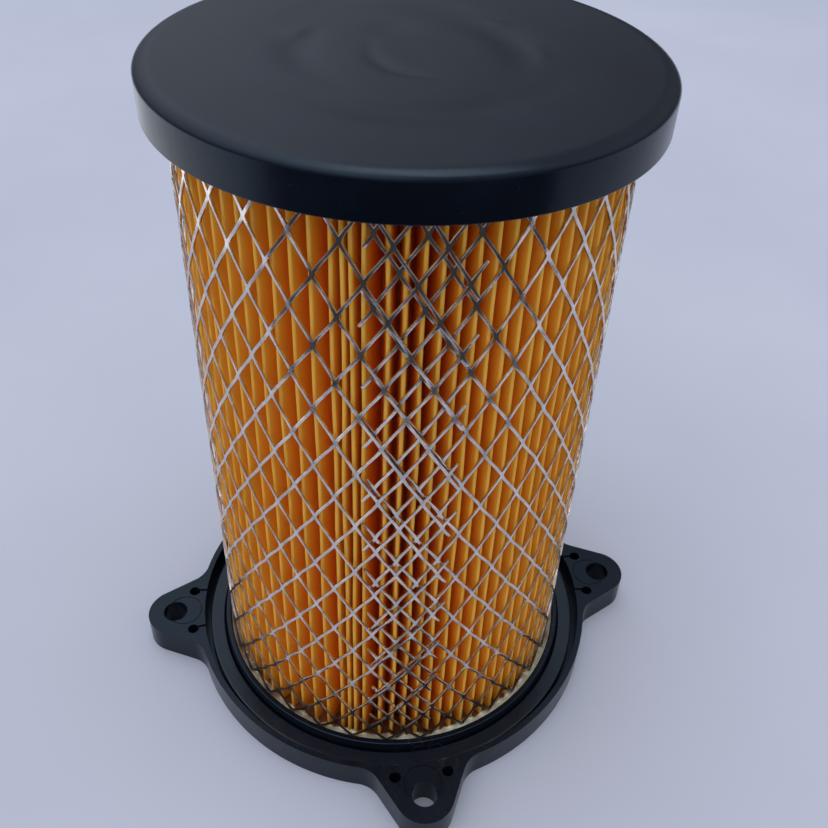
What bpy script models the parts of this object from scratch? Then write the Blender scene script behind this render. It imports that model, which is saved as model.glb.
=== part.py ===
"""Motorcycle air filter element: a pleated paper cartridge on a four-lug plastic base.

The origin is the centre of the base's underside and +Z runs up the element's axis.
The four fixing lugs point along +X, +Y, -X and -Y. Lengths are in millimetres until
they reach Blender, which works in metres.
"""

import math

import bmesh
import bpy

MM = 0.001
GAP = 0.3
RING_STEPS = 64
MERGE_DISTANCE = 1e-5

# How far a cutter runs past the face it opens, and how far a trimming tube stands clear
CUTTER_OVERRUN = 1.0
TRIM_MARGIN = 4.0

# Straight steps on each kind of curve
TRIM_STEPS = 24
HOLE_STEPS = 24
PILOT_STEPS = 16
RING_ARC_STEPS = 16
LUG_TIP_STEPS = 14
FILLET_STEPS = 6
CAP_EDGE_STEPS = 4

# Overall envelope
TOTAL_HEIGHT = 166.0
CAP_RADIUS = 50.2
CAP_SKIRT_HEIGHT = 8.8
CAP_WALL = 2.0
CAP_EDGE_ROUND = 1.4
SCREEN_RADIUS = 46.0

# Base flange: an outer ring, an open channel, the potting cup and the outlet collar
RING_RADIUS = 55.2
RING_WALL = 1.5
RING_HEIGHT = 8.1
FLOOR_THICKNESS = 1.5
CUP_INNER_RADIUS = 46.35
CUP_LIP_RADIUS = 47.9
CUP_FOOT_RADIUS = 48.4
CUP_HEIGHT = 7.15
OUTLET_RADIUS = 28.0
COLLAR_WALL = 1.5
COLLAR_HEIGHT = 7.0
EDGE_BREAK = 0.3

# Fixing lugs
LUG_COUNT = 4
LUG_HOLE_CIRCLE_RADIUS = 61.8
LUG_HOLE_RADIUS = 3.25
LUG_TIP_RADIUS = 7.4
LUG_FLARE = math.radians(26.6)
LUG_FILLET = 7.0
PILOT_CIRCLE_RADIUS = 57.1
PILOT_ANGLE = math.radians(6.6)
PILOT_RADIUS = 1.45
PILOT_DEPTH = 6.0
SLOT_WIDTH = 1.6
SLOT_DEPTH = 0.5

# Rubber lip seal in the channel
SEAL_INNER_RADIUS = 48.75
SEAL_OUTER_RADIUS = 52.36
SEAL_LIP_HEIGHT = 5.85
SEAL_HEEL_HEIGHT = 5.1
SEAL_THICKNESS = 1.1
SEAL_WEB = 1.5
SEAL_LIP_ROUND = 0.35
SEAL_LIP_DROP = 0.12
SEAL_LIP_LAND = 0.4

# Potting
POTTING_LEVEL = 6.0
TOP_POTTING_DEPTH = 2.8
CAP_PLATE = 2.2

# Pleated paper; pitches, spans and the seam's place are in degrees round the axis
PLEAT_TIP_RADIUS = 44.2
PLEAT_ROOT_RADIUS = 33.0
PAPER_THICKNESS = 0.4
FOLD_FLAT = 0.7
WIDE_PITCH = 5.2
NARROW_PITCH = 4.0
SEAM_PITCH = 2.45
SEAM_PLEATS = 3
SEAM_START = 245.9
WIDE_SPAN = 60.0
NARROW_SPAN = 90.0

# Expanded metal, common to both screens
SHEET_DEPTH = 0.5
LAYER_DROP = 0.8
ROW_GROWTH = 1.009

# Outer screen; its seam starts and its half meshes are in degrees round the axis
OUTER_STRAND = 1.0
OUTER_HALF_COLUMN = 5.616
OUTER_COLUMNS = 67
OUTER_SEAM_START = 257.3
OUTER_HALF_ROW = 6.35
OUTER_FOOT = 0.5
OUTER_ROWS = 24
OUTER_SLOPE = 0.064

# Inner screen, a coarser mesh
INNER_RADIUS = 31.8
INNER_STRAND = 1.2
INNER_HALF_COLUMN = 14.9
INNER_COLUMNS = 25
INNER_SEAM_START = 80.0
INNER_HALF_ROW = 12.6
INNER_FOOT = 0.0
INNER_ROWS = 13


def clear_scene():
    for item in list(bpy.data.objects):
        bpy.data.objects.remove(item, do_unlink=True)


def new_collection(name):
    collection = bpy.data.collections.new(name)
    bpy.context.scene.collection.children.link(collection)
    return collection


def principled(name, color, roughness, metallic=0.0):
    material = bpy.data.materials.new(name)
    material.use_nodes = True
    shader = material.node_tree.nodes["Principled BSDF"]
    shader.inputs["Base Color"].default_value = (*color, 1.0)
    shader.inputs["Roughness"].default_value = roughness
    shader.inputs["Metallic"].default_value = metallic
    return material


def add_object(name, mesh, collection, material=None):
    item = bpy.data.objects.new(name, mesh)
    collection.objects.link(item)
    if material:
        mesh.materials.append(material)
    return item


def turned_mesh(name, profile):
    """A profile of (radius, height) points, closed unless it starts and ends on the axis."""
    mesh = bpy.data.meshes.new(name)
    points = [(radius * MM, 0.0, height * MM) for radius, height in profile]
    edges = [(k, k + 1) for k in range(len(points) - 1)]
    if profile[0][0] > 0.0:
        edges.append((len(points) - 1, 0))
    mesh.from_pydata(points, edges, [])
    return mesh


def turned(name, profile, collection, material=None, steps=RING_STEPS):
    """A ring-shaped solid: the profile runs down its outer side, top to bottom."""
    item = add_object(name, turned_mesh(name, profile), collection, material)
    screw = item.modifiers.new("turn", "SCREW")
    screw.steps = steps
    screw.render_steps = steps
    screw.use_merge_vertices = True
    screw.merge_threshold = MERGE_DISTANCE
    screw.use_smooth_shade = False
    return item


def arc(center, radius, start, end, steps):
    """Points on a circular arc, both ends included."""
    angles = [start + (end - start) * k / steps for k in range(steps + 1)]
    return [(center[0] + radius * math.cos(a), center[1] + radius * math.sin(a)) for a in angles]


def polar(radius, angle):
    return (radius * math.cos(angle), radius * math.sin(angle))


def rotated(points, angle):
    c = math.cos(angle)
    s = math.sin(angle)
    return [(x * c - y * s, x * s + y * c) for x, y in points]


def lug_fillet_angle():
    """Angle from a lug's centre line to where its concave fillet leaves the ring."""
    flank_normal = math.pi / 2 - LUG_FLARE
    flank_distance = LUG_HOLE_CIRCLE_RADIUS * math.cos(flank_normal) + LUG_TIP_RADIUS
    reach = (flank_distance + LUG_FILLET) / (RING_RADIUS + LUG_FILLET)
    return flank_normal - math.acos(reach)


def lug_outline():
    """One lug on +X, from its lower ring fillet round the tip to its upper one."""
    flank_normal = math.pi / 2 - LUG_FLARE
    fillet_angle = lug_fillet_angle()
    fillet_center = polar(RING_RADIUS + LUG_FILLET, fillet_angle)
    start = math.pi + flank_normal
    end = math.pi + fillet_angle
    upper_fillet = arc(fillet_center, LUG_FILLET, start, end, FILLET_STEPS)
    tip_center = (LUG_HOLE_CIRCLE_RADIUS, 0.0)
    tip = arc(tip_center, LUG_TIP_RADIUS, -flank_normal, flank_normal, LUG_TIP_STEPS)
    lower_fillet = [(x, -y) for x, y in reversed(upper_fillet)]
    return lower_fillet + tip + upper_fillet


def ring_outline():
    """The flange's outer edge, anticlockwise: ring arcs between the four lugs."""
    points = []
    quarter = 2 * math.pi / LUG_COUNT
    clear = lug_fillet_angle()
    for k in range(LUG_COUNT):
        points += rotated(lug_outline(), k * quarter)
        start = k * quarter + clear
        end = (k + 1) * quarter - clear
        between = arc((0.0, 0.0), RING_RADIUS, start, end, RING_ARC_STEPS)
        points += between[1:-1]
    return points


def add_outline(curve, points):
    spline = curve.splines.new("POLY")
    spline.points.add(len(points) - 1)
    for point, (x, y) in zip(spline.points, points):
        point.co = (x * MM, y * MM, 0.0, 1.0)
    spline.use_cyclic_u = True


def mesh_from_curve(curve_object, name, collection, material=None):
    """Turn a filled curve into a welded mesh object in the same place."""
    bpy.context.view_layer.update()
    evaluated = curve_object.evaluated_get(bpy.context.evaluated_depsgraph_get())
    mesh = bpy.data.meshes.new_from_object(evaluated)
    mesh.materials.clear()
    shell = bmesh.new()
    shell.from_mesh(mesh)
    bmesh.ops.remove_doubles(shell, verts=shell.verts, dist=MERGE_DISTANCE)
    shell.to_mesh(mesh)
    shell.free()
    item = add_object(name, mesh, collection, material)
    item.matrix_world = curve_object.matrix_world
    bpy.data.objects.remove(curve_object, do_unlink=True)
    return item


def flange_plate(collection, material):
    """A full-height plate with the four lugs, and with the lug holes left open."""
    curve = bpy.data.curves.new("ring_outline", "CURVE")
    curve.dimensions = "2D"
    curve.fill_mode = "BOTH"
    curve.extrude = RING_HEIGHT / 2 * MM
    add_outline(curve, ring_outline())
    for k in range(LUG_COUNT):
        center = polar(LUG_HOLE_CIRCLE_RADIUS, k * 2 * math.pi / LUG_COUNT)
        add_outline(curve, arc(center, LUG_HOLE_RADIUS, 0.0, 2 * math.pi, HOLE_STEPS)[:-1])
    outline = bpy.data.objects.new("ring_outline", curve)
    outline.location.z = RING_HEIGHT / 2 * MM
    collection.objects.link(outline)
    return mesh_from_curve(outline, "base_flange", collection, material)


def hollow_cutter(cutters):
    """Everything the mould core leaves empty: outlet, potting trough and open channel."""
    above = RING_HEIGHT + CUTTER_OVERRUN
    below = -CUTTER_OVERRUN
    collar = OUTLET_RADIUS + COLLAR_WALL
    profile = [
        (0.0, above),
        (RING_RADIUS - RING_WALL, above),
        (RING_RADIUS - RING_WALL, FLOOR_THICKNESS),
        (CUP_FOOT_RADIUS, FLOOR_THICKNESS),
        (CUP_LIP_RADIUS, CUP_HEIGHT - EDGE_BREAK),
        (CUP_LIP_RADIUS - EDGE_BREAK, CUP_HEIGHT),
        (CUP_INNER_RADIUS + EDGE_BREAK, CUP_HEIGHT),
        (CUP_INNER_RADIUS, CUP_HEIGHT - EDGE_BREAK),
        (CUP_INNER_RADIUS, FLOOR_THICKNESS),
        (collar, FLOOR_THICKNESS),
        (collar, COLLAR_HEIGHT - EDGE_BREAK),
        (collar - EDGE_BREAK, COLLAR_HEIGHT),
        (OUTLET_RADIUS + EDGE_BREAK, COLLAR_HEIGHT),
        (OUTLET_RADIUS, COLLAR_HEIGHT - EDGE_BREAK),
        (OUTLET_RADIUS, below),
        (0.0, below),
    ]
    return turned("hollow_cutter", profile, cutters)


def add_cylinder(shell, center, radius, low, high, segments):
    made = bmesh.ops.create_cone(
        shell,
        cap_ends=True,
        segments=segments,
        radius1=radius * MM,
        radius2=radius * MM,
        depth=(high - low) * MM,
    )
    offset = (center[0] * MM, center[1] * MM, (low + high) / 2 * MM)
    bmesh.ops.translate(shell, verts=made["verts"], vec=offset)


def pilot_angles():
    for k in range(LUG_COUNT):
        for side in (-1, 1):
            yield k * 2 * math.pi / LUG_COUNT + side * PILOT_ANGLE


def pilot_cutter(cutters):
    """Blind pilot holes, two in each lug."""
    shell = bmesh.new()
    low = RING_HEIGHT - PILOT_DEPTH
    high = RING_HEIGHT + CUTTER_OVERRUN
    for angle in pilot_angles():
        center = polar(PILOT_CIRCLE_RADIUS, angle)
        add_cylinder(shell, center, PILOT_RADIUS, low, high, PILOT_STEPS)
    mesh = bpy.data.meshes.new("pilot_cutter")
    shell.to_mesh(mesh)
    shell.free()
    return add_object("pilot_cutter", mesh, cutters)


def slot_cutter(cutters):
    """Shallow slots that join each pilot hole to the ring's inner wall."""
    shell = bmesh.new()
    inner = RING_RADIUS - RING_WALL - CUTTER_OVERRUN
    for angle in pilot_angles():
        made = bmesh.ops.create_cube(shell, size=1.0)
        verts = made["verts"]
        length = PILOT_CIRCLE_RADIUS - inner
        bmesh.ops.scale(shell, verts=verts, vec=(length * MM, SLOT_WIDTH * MM, 2 * SLOT_DEPTH * MM))
        for vert in verts:
            x = vert.co.x + (inner + PILOT_CIRCLE_RADIUS) / 2 * MM
            vert.co.x, vert.co.y = rotated([(x, vert.co.y)], angle)[0]
            vert.co.z += RING_HEIGHT * MM
    mesh = bpy.data.meshes.new("slot_cutter")
    shell.to_mesh(mesh)
    shell.free()
    return add_object("slot_cutter", mesh, cutters)


def combine(item, other, operation):
    boolean = item.modifiers.new(other.name, "BOOLEAN")
    boolean.operation = operation
    boolean.object = other
    other.hide_render = True
    other.display_type = "WIRE"


def base_flange(parts, cutters, material):
    flange = flange_plate(parts, material)
    combine(flange, hollow_cutter(cutters), "DIFFERENCE")
    combine(flange, pilot_cutter(cutters), "DIFFERENCE")
    combine(flange, slot_cutter(cutters), "DIFFERENCE")
    return flange


def flange_seal(parts, material):
    """A lip seal: a foot on the channel floor, a web, and a thin lip that points outward."""
    foot = FLOOR_THICKNESS + GAP
    profile = [
        (SEAL_INNER_RADIUS, SEAL_HEEL_HEIGHT),
        (SEAL_OUTER_RADIUS - SEAL_LIP_ROUND, SEAL_LIP_HEIGHT - SEAL_LIP_DROP),
        (SEAL_OUTER_RADIUS, SEAL_LIP_HEIGHT - SEAL_LIP_LAND),
        (SEAL_OUTER_RADIUS, SEAL_LIP_HEIGHT - SEAL_THICKNESS),
        (SEAL_INNER_RADIUS + SEAL_WEB, foot + SEAL_THICKNESS),
        (SEAL_OUTER_RADIUS, foot + SEAL_THICKNESS),
        (SEAL_OUTER_RADIUS, foot),
        (SEAL_INNER_RADIUS, foot),
    ]
    return turned("flange_seal", profile, parts, material)


def bottom_potting(parts, material):
    low = FLOOR_THICKNESS + GAP
    inner = OUTLET_RADIUS + COLLAR_WALL + GAP
    outer = CUP_INNER_RADIUS - GAP
    profile = [(outer, POTTING_LEVEL), (outer, low), (inner, low), (inner, POTTING_LEVEL)]
    return turned("bottom_potting", profile, parts, material)


def element_top():
    """Height where the paper and both screens meet the potting in the cap."""
    return TOTAL_HEIGHT - CAP_PLATE - TOP_POTTING_DEPTH - 2 * GAP


def top_potting(parts, material):
    low = element_top() + GAP
    high = low + TOP_POTTING_DEPTH
    inner = OUTLET_RADIUS + COLLAR_WALL
    outer = CAP_RADIUS - CAP_WALL - GAP
    profile = [(outer, high), (outer, low), (inner, low), (inner, high)]
    return turned("top_potting", profile, parts, material)


def top_cap(parts, material):
    """A shallow inverted cup with a rounded top edge."""
    skirt_foot = TOTAL_HEIGHT - CAP_SKIRT_HEIGHT
    edge_center = (CAP_RADIUS - CAP_EDGE_ROUND, TOTAL_HEIGHT - CAP_EDGE_ROUND)
    profile = [(0.0, TOTAL_HEIGHT)]
    profile += arc(edge_center, CAP_EDGE_ROUND, math.pi / 2, 0.0, CAP_EDGE_STEPS)
    profile += [
        (CAP_RADIUS, skirt_foot + EDGE_BREAK),
        (CAP_RADIUS - EDGE_BREAK, skirt_foot),
        (CAP_RADIUS - CAP_WALL, skirt_foot),
        (CAP_RADIUS - CAP_WALL, TOTAL_HEIGHT - CAP_PLATE),
        (0.0, TOTAL_HEIGHT - CAP_PLATE),
    ]
    return turned("top_cap", profile, parts, material)


def pleat_tip_angles():
    """Azimuths of the pleat tips in degrees, one turn from the glued seam.

    The seam is a bunch of tight pleats. After it the pleats start narrow, and they
    open out to the wide pitch on the far side of the turn.
    """
    seam = [SEAM_START + k * SEAM_PITCH for k in range(SEAM_PLEATS + 1)]
    span = 360.0 - SEAM_PLEATS * SEAM_PITCH
    offsets = []
    position = 0.0
    while position < span:
        offsets.append(position)
        opening = (position - NARROW_SPAN) / (span - NARROW_SPAN - WIDE_SPAN)
        position += NARROW_PITCH + (WIDE_PITCH - NARROW_PITCH) * min(max(opening, 0.0), 1.0)
    stretch = span / position
    return seam + [seam[-1] + offset * stretch for offset in offsets[1:]]


def pleat_outline(tip_radius, tip_flat, root_radius, root_flat):
    """A closed zigzag with a small flat on every fold, as (x, y) points in order."""
    tips = [math.radians(angle) for angle in pleat_tip_angles()]
    following = tips[1:] + [tips[0] + 2 * math.pi]
    points = []
    for tip, next_tip in zip(tips, following):
        root = (tip + next_tip) / 2
        for angle, radius, flat in ((tip, tip_radius, tip_flat), (root, root_radius, root_flat)):
            points.append(polar(radius, angle - flat / 2 / radius))
            points.append(polar(radius, angle + flat / 2 / radius))
    return points


def pleated_element(parts, material):
    """A folded paper ring: an outer and an inner zigzag, one paper thickness apart."""
    low = POTTING_LEVEL + GAP
    high = element_top()
    outside_flat = FOLD_FLAT + PAPER_THICKNESS
    inside_flat = FOLD_FLAT - PAPER_THICKNESS
    curve = bpy.data.curves.new("paper_outline", "CURVE")
    curve.dimensions = "2D"
    curve.fill_mode = "BOTH"
    curve.extrude = (high - low) / 2 * MM
    root = PLEAT_ROOT_RADIUS
    tip = PLEAT_TIP_RADIUS
    add_outline(curve, pleat_outline(tip, outside_flat, root + PAPER_THICKNESS, inside_flat))
    add_outline(curve, pleat_outline(tip - PAPER_THICKNESS, inside_flat, root, outside_flat))
    outline = bpy.data.objects.new("paper_outline", curve)
    outline.location.z = (high + low) / 2 * MM
    parts.objects.link(outline)
    return mesh_from_curve(outline, "pleated_element", parts, material)


class ExpandedSheet:
    """Expanded metal, rolled into a tube whose free edges overlap.

    The sheet is laid out flat first. A joint's column counts half meshes along the
    sheet, its row counts half meshes up it, and column plus row is even. A strand is a
    ridge, flat on the sheet's outer face and meeting in a line at full depth. Rolling
    wraps the sheet on a shallow spiral, so the last columns lie over the first.
    """

    SIDES = {"ne": ("n", "e"), "nw": ("w", "n"), "sw": ("s", "w"), "se": ("e", "s")}
    FAR_SIDES = {"ne": ("w", "s"), "nw": ("s", "e")}
    STEPS = {"ne": (1, 1), "nw": (-1, 1), "sw": (-1, -1), "se": (1, -1)}

    def __init__(self, radius, half_column, columns, start, strand, foot, half_row, rows, slope):
        self.radius = radius
        self.half_column = half_column
        self.columns = columns
        self.start = start
        self.strand = strand
        self.foot = foot
        self.half_row = half_row
        self.rows = rows
        self.slope = slope
        self.shell = bmesh.new()
        self.joints = {}

    def height(self, column, row):
        """Rows grow a little taller up the sheet, and run slightly downhill along it."""
        climb = self.half_row * (ROW_GROWTH**row - 1.0) / (ROW_GROWTH - 1.0)
        return self.foot + climb - self.slope * column

    def rolled(self, column, height, depth):
        drop = LAYER_DROP * (1.0 - column / self.columns)
        angle = math.radians(self.start + column * self.half_column)
        x, y = polar(self.radius - drop - depth, angle)
        return self.shell.verts.new((x * MM, y * MM, height * MM))

    def add_joint(self, column, row):
        """One crossing of the mesh: four corners outside and a point at full depth."""
        width = math.radians(self.half_column) * self.radius
        rise = self.half_row * ROW_GROWTH**row
        strand_angle = math.atan2(rise, width)
        along = self.strand / 2 / math.sin(strand_angle) / width
        up = self.strand / 2 / math.cos(strand_angle)
        height = self.height(column, row)
        joint = {
            "n": self.rolled(column, height + up, 0.0),
            "e": self.rolled(column + along, height, 0.0),
            "s": self.rolled(column, height - up, 0.0),
            "w": self.rolled(column - along, height, 0.0),
            "core": self.rolled(column, height, SHEET_DEPTH),
        }
        self.shell.faces.new([joint[side] for side in "nwse"])
        self.joints[column, row] = joint

    def triple(self, joint, sides):
        return [joint[sides[0]], joint[sides[1]], joint["core"]]

    def add_strand(self, joint, other, direction):
        near = self.triple(joint, self.SIDES[direction])
        far = self.triple(other, self.FAR_SIDES[direction])
        for k in range(3):
            following = (k + 1) % 3
            self.shell.faces.new([near[k], near[following], far[following], far[k]])

    def connect(self, column, row, joint):
        """Strands leave upward; a side with no strand at all is closed off."""
        for direction, (step_column, step_row) in self.STEPS.items():
            other = self.joints.get((column + step_column, row + step_row))
            if other is None:
                self.shell.faces.new(self.triple(joint, self.SIDES[direction]))
            elif step_row > 0:
                self.add_strand(joint, other, direction)

    def make(self, name, parts, material):
        for row in range(self.rows + 1):
            for column in range(row % 2, self.columns + 1, 2):
                self.add_joint(column, row)
        for (column, row), joint in self.joints.items():
            self.connect(column, row, joint)
        bmesh.ops.recalc_face_normals(self.shell, faces=self.shell.faces)
        mesh = bpy.data.meshes.new(name)
        self.shell.to_mesh(mesh)
        self.shell.free()
        return add_object(name, mesh, parts, material)


def element_length_tube(name, radius, cutters):
    """The length between the two pottings: both screens are trimmed to it."""
    low = POTTING_LEVEL + GAP
    high = element_top()
    inner = radius - TRIM_MARGIN
    outer = radius + TRIM_MARGIN
    profile = [(outer, high), (outer, low), (inner, low), (inner, high)]
    return turned(name, profile, cutters, steps=TRIM_STEPS)


def outer_screen(parts, cutters, material):
    sheet = ExpandedSheet(
        radius=SCREEN_RADIUS,
        half_column=OUTER_HALF_COLUMN,
        columns=OUTER_COLUMNS,
        start=OUTER_SEAM_START,
        strand=OUTER_STRAND,
        foot=OUTER_FOOT,
        half_row=OUTER_HALF_ROW,
        rows=OUTER_ROWS,
        slope=OUTER_SLOPE,
    )
    screen = sheet.make("outer_screen", parts, material)
    trim = element_length_tube("outer_screen_trim", SCREEN_RADIUS, cutters)
    combine(screen, trim, "INTERSECT")
    return screen


def inner_screen(parts, cutters, material):
    sheet = ExpandedSheet(
        radius=INNER_RADIUS,
        half_column=INNER_HALF_COLUMN,
        columns=INNER_COLUMNS,
        start=INNER_SEAM_START,
        strand=INNER_STRAND,
        foot=INNER_FOOT,
        half_row=INNER_HALF_ROW,
        rows=INNER_ROWS,
        slope=0.0,
    )
    screen = sheet.make("inner_screen", parts, material)
    trim = element_length_tube("inner_screen_trim", INNER_RADIUS, cutters)
    combine(screen, trim, "INTERSECT")
    return screen


def build():
    clear_scene()
    parts = new_collection("air_filter")
    cutters = new_collection("cutters")
    plastic = principled("black_plastic", (0.020, 0.022, 0.028), 0.42)
    rubber = principled("black_rubber", (0.030, 0.033, 0.038), 0.75)
    paper = principled("filter_paper", (0.72, 0.30, 0.02), 0.80)
    steel = principled("galvanised_steel", (0.62, 0.60, 0.58), 0.38, 1.0)
    potting = principled("cream_potting", (0.70, 0.66, 0.50), 0.55)
    base_flange(parts, cutters, plastic)
    flange_seal(parts, rubber)
    bottom_potting(parts, potting)
    pleated_element(parts, paper)
    outer_screen(parts, cutters, steel)
    inner_screen(parts, cutters, steel)
    top_potting(parts, potting)
    top_cap(parts, plastic)


build()
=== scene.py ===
"""Looks for the motorcycle air filter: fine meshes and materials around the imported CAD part.

The part's own frame is kept: origin at the centre of the base's underside, +Z up, lugs
along the X and Y axes. Lengths are in millimetres until a mesh is made.
"""
import math
import random

import bmesh
import bpy
from mathutils import Matrix, Vector, kdtree, noise


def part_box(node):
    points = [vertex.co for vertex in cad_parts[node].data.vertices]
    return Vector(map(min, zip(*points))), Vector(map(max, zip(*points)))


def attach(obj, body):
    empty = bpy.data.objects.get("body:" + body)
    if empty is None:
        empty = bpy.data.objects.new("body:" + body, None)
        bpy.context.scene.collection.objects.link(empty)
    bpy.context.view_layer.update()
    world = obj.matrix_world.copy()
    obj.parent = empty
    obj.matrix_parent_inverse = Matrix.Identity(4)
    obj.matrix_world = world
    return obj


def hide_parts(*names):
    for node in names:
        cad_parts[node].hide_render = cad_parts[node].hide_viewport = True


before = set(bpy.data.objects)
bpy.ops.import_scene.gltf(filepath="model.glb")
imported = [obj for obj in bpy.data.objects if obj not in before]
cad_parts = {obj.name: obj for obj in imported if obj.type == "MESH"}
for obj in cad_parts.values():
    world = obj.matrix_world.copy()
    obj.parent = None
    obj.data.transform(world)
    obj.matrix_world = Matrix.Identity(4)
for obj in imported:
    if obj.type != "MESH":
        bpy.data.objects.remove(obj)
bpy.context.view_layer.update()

MM = 0.001
RING_STEPS = 256
MERGE_DISTANCE = 0.001
CUTTER_OVERRUN = 1.0

# Heights and outer sizes come from the CAD nodes
BASE_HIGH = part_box("base_flange")[1] / MM
CAP_LOW, CAP_HIGH = (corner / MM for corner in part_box("top_cap"))
SEAL_LOW, SEAL_HIGH = (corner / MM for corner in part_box("flange_seal"))
POTTING_LOW, POTTING_HIGH = (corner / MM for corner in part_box("bottom_potting"))
PAPER_LOW, PAPER_HIGH = (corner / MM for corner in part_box("pleated_element"))
RING_HEIGHT = BASE_HIGH.z
LUG_REACH = BASE_HIGH.x
CAP_RADIUS = CAP_HIGH.x
CAP_TOP = CAP_HIGH.z

# Base flange
RING_RADIUS = 55.2
RING_WALL = 1.5
FLOOR_THICKNESS = 1.5
CUP_INNER_RADIUS = 46.35
CUP_LIP_RADIUS = 47.9
CUP_FOOT_RADIUS = 48.4
CUP_HEIGHT = 7.15
OUTLET_RADIUS = 28.0
COLLAR_WALL = 1.5
COLLAR_HEIGHT = 7.0
LIP_ROUND = 0.35
EDGE_ROUND = 0.2
LUG_COUNT = 4
LUG_TIP_RADIUS = 7.4
LUG_HOLE_CIRCLE = LUG_REACH - LUG_TIP_RADIUS
LUG_HOLE_RADIUS = 3.25
LUG_FLARE = math.radians(26.6)
LUG_FILLET = 7.0
LUG_FILLET_STEPS = 14
LUG_TIP_STEPS = 36
RING_ARC_STEPS = 44
LUG_HOLE_STEPS = 48
PILOT_STEPS = 28
PILOT_CIRCLE = 57.1
PILOT_ANGLE = math.radians(6.6)
PILOT_RADIUS = 1.45
PILOT_DEPTH = 6.0
SLOT_WIDTH = 1.6
SLOT_DEPTH = 0.5
WITNESS_CIRCLE = 59.2
WITNESS_RADIUS = 4.65
WITNESS_GROOVE = 0.24
WITNESS_LIFT = 0.05

# Lip seal: its crown is nearly level, a little below the top of the CAD's lip
SEAL_WIDTH = 3.85
SEAL_CROWN_DROP = 1.0
SEAL_CROWN_RISE = 0.15
SEAL_INNER_ROUND = 0.25
SEAL_LIP_ROUND = 0.35
SEAL_LIP_THICKNESS = 1.1
SEAL_WEB = 1.5
# How far in from the rim and down from the top the lip's edge passes
SEAL_LIP_EDGE = ((0.15, 0.06), (0.02, 0.3))
SEAL_CROWN_STEPS = 8
SEAL_WAVES = 2.2
SEAL_SWAY = 0.12
SEAL_RIPPLE = 0.1

# Cap
CAP_WALL = 2.0
CAP_PLATE = 2.2
CAP_EDGE_DROP = 1.6
CAP_EDGE_REACH = 3.2
CAP_EDGE_STEPS = 14
CAP_TOP_RINGS = 80
CAP_DISH = 0.35
CAP_FOOT_ROUND = 0.35
CAP_FOOT_STEP = 0.1
CAP_FOOT_CHAMFER = 0.3
SINK_LEAST_BEND = 12.0

# Paper
PLEAT_TIP_RADIUS = 44.65
PLEAT_ROOT_RADIUS = 33.2
PAPER_THICKNESS = 0.34
FOLD_RADIUS = 0.24
FOLD_STEPS = 6
FOLD_ROOM = 0.9
WIDE_PITCH = 4.8
NARROW_PITCH = 3.96
SEAM_TIPS = (245.9, 248.3, 250.3, 253.2, 258.4)
WIDE_SPAN = 60.0
NARROW_SPAN = 100.0
PLEAT_TURN = 0.013
PLEAT_REACH = 0.5
PAPER_DEPTH_IN_POTTING = 0.4
PAPER_DEPTH_IN_CAP = 0.2
PAPER_LEVELS = 44

# Potting: how much higher the pool stands towards -Y, and how it creeps up its neighbours,
# each as a height and the distance in which it fades
POUR_TILT = 0.4
POUR_DROP = 0.65
POTTING_GAP = 0.02
POTTING_SINK = 0.25
PAPER_CREEP = (0.4, 0.35)
WALL_CREEP = (0.45, 0.3)
COLLAR_CREEP = (0.4, 0.4)
POOL_SWELL = 0.18
POOL_RIPPLE = 0.05

# Outer screen
SCREEN_RADIUS = 46.0
LAYER_DROP = 0.72
SHEET_DEPTH = 0.5
BOND_HALF_WIDTH = 0.54
BOND_HALF_LENGTH = 0.88
BOND_SHOULDER = 0.3
STRAND_HALF_WIDTH = 0.32
EDGE_CHAMFER = 0.08
STRAND_TILT = 0.045
STRAND_SWAY = 0.12
STRAND_FLARE = 0.25
STUB_LENGTHS = (0.28, 0.62)
BOND_SHIFT = 0.1
BOND_RISE = 0.12
BOND_LIFT = 0.08
SCREEN_TRIM = 3.0
SCREEN_TOP_GAP = 1.0
ROWS = 24
COLUMNS = 67
HALF_COLUMN = 5.633
SEAM_AZIMUTH = 256.2
COLUMN_SWELL = 1.0
# Rows: height of row zero, rise of a row, and how far the foot is squeezed up
FIRST_COLUMN_ROWS = (-5.3, 7.19, 4.9)
LAST_COLUMN_ROWS = (-11.7, 7.39, 11.8)
FOOT_SQUEEZE_ROWS = 4.5
# Lean: degrees per millimetre of height at both ends of the sheet, and its bow
LEAN_HEIGHT = 87.0
FIRST_COLUMN_LEAN = -0.021
LAST_COLUMN_LEAN = 0.031
LEAN_BOW = 0.00012

# The camera, placed round the object in its own frame
CAMERA_AZIMUTH = math.radians(261.44)
CAMERA_DISTANCE = 175.35
CAMERA_HEIGHT = 228.47
CAMERA_PITCH = math.radians(39.39)
CAMERA_YAW = math.radians(1.92)
CAMERA_ROLL = math.radians(2.97)
CAMERA_LENS = 41.03
CAMERA_SHIFT = (-0.0114, -0.0297)
SENSOR_WIDTH = 36.0

# Studio
FLOOR_HALF_SIZE = 3000.0
FLOOR_GAP = 0.02
CARD_HEIGHT = 1.0
CARD_STEPS = 16
WORLD_STRENGTH = 0.72
LIGHT_TARGET = Vector((0.0, 0.0, 0.09))


# ---------------------------------------------------------------- geometry helpers


def polar(radius, angle):
    return (radius * math.cos(angle), radius * math.sin(angle))


def arc(center, radius, start, end, steps):
    angles = [start + (end - start) * k / steps for k in range(steps + 1)]
    return [(center[0] + radius * math.cos(a), center[1] + radius * math.sin(a)) for a in angles]


def rotated(points, angle):
    c = math.cos(angle)
    s = math.sin(angle)
    return [(x * c - y * s, x * s + y * c) for x, y in points]


def smooth_noise(x, y, z, seed=0.0):
    return noise.noise(Vector((x + seed, y - seed, z + 0.37 * seed)))


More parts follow.
